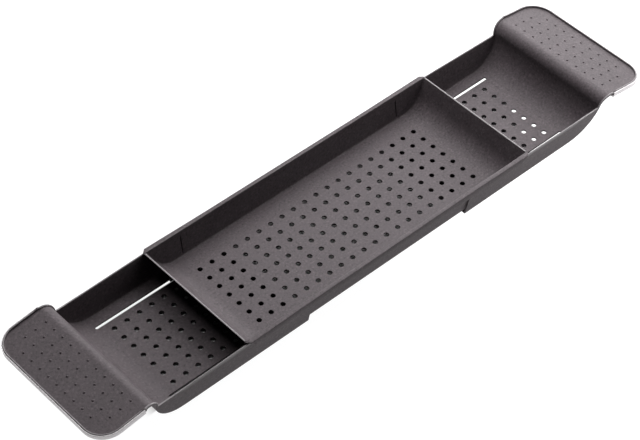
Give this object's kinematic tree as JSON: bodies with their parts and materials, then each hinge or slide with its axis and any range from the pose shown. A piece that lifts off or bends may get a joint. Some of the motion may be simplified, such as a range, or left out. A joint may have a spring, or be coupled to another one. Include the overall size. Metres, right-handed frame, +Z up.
{
  "type": "bath caddy",
  "caption": "Extending bath caddy: a perforated centre tray that hangs in two sliding perforated end trays, whose raised wings rest on the bathtub's rim on soft grip pads",
  "frame": {"origin": "centre of the caddy's footprint, on the plane of the end trays' flat undersides", "axes": "+X runs along the caddy towards the right wing, +Y runs across it to the back, +Z is up out of the trays"},
  "size_m": [0.717, 0.158, 0.0469],
  "materials": {
    "centre_tray_plastic": "fine satin moulding texture",
    "left_tray_plastic": "fine satin moulding texture",
    "right_tray_plastic": "fine satin moulding texture",
    "left_pad_rubber": "soft matte grip rubber",
    "right_pad_rubber": "soft matte grip rubber"
  },
  "bodies": {
    "centre": {"centre_tray": "centre_tray_plastic"},
    "left_end": {"left_tray": "left_tray_plastic", "left_grip_pad": "left_pad_rubber"},
    "right_end": {"right_tray": "right_tray_plastic", "right_grip_pad": "right_pad_rubber"}
  },
  "joints": [
    {"name": "left_slide", "type": "slide", "parent": "centre", "child": "left_end", "axis": [-1, 0, 0], "range_m": [-0.0856, 0.004]},
    {"name": "right_slide", "type": "slide", "parent": "centre", "child": "right_end", "axis": [1, 0, 0], "range_m": [-0.0856, 0.004]}
  ]
}
